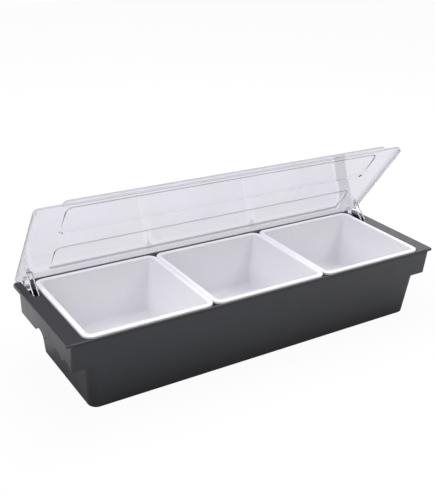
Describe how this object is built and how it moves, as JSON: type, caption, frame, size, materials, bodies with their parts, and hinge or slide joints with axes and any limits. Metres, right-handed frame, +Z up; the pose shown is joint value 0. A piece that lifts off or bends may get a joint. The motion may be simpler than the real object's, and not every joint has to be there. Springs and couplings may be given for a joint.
{
  "type": "bar condiment holder",
  "caption": "Long bar condiment holder: a dark moulded tub with finger-grip ends carries lift-out white trays under a clear hinged lid that wire stays prop open.",
  "frame": {"origin": "middle of the underside of the tub", "axes": "+X along the length to the right seen from the front, -Y to the front, +Z up"},
  "size_m": [0.5, 0.1548, 0.2078],
  "materials": {
    "base_plastic": "fine matte moulded",
    "tray_plastic": "smooth moulded",
    "lid_clear": "clear polished",
    "steel": "bright wire"
  },
  "bodies": {
    "base": {"base_tub": "base_plastic", "hinge_pin_left": "steel", "hinge_pin_right": "steel"},
    "lid": {"clear_lid": "lid_clear"},
    "tray_left": {"tray_left": "tray_plastic"},
    "tray_middle": {"tray_middle": "tray_plastic"},
    "tray_right": {"tray_right": "tray_plastic"},
    "stay_left": {"wire_stay_left": "steel"},
    "stay_right": {"wire_stay_right": "steel"}
  },
  "joints": [
    {"name": "lid_hinge", "type": "hinge", "parent": "base", "child": "lid", "pos_m": [0, 0.0705, 0.084], "axis": [1, 0, 0], "range_deg": [0, 55.6]},
    {"name": "tray_left_lift", "type": "slide", "parent": "base", "child": "tray_left", "axis": [0, 0, 1], "range_m": [0, 0.0013]},
    {"name": "tray_middle_lift", "type": "slide", "parent": "base", "child": "tray_middle", "axis": [0, 0, 1], "range_m": [0, 0.0013]},
    {"name": "tray_right_lift", "type": "slide", "parent": "base", "child": "tray_right", "axis": [0, 0, 1], "range_m": [0, 0.0013]},
    {"name": "stay_left_swing", "type": "hinge", "parent": "lid", "child": "stay_left", "pos_m": [-0.2362, 0.06054, 0.10651], "axis": [1, 0, 0], "range_deg": [-30.5, 0.5]},
    {"name": "stay_right_swing", "type": "hinge", "parent": "lid", "child": "stay_right", "pos_m": [0.2362, 0.06054, 0.10651], "axis": [1, 0, 0], "range_deg": [-30.5, 0.5]}
  ],
  "couplings": [
    {"joint": "stay_left_swing", "follows": "lid_hinge", "ratio": -0.54},
    {"joint": "stay_right_swing", "follows": "lid_hinge", "ratio": -0.54}
  ]
}
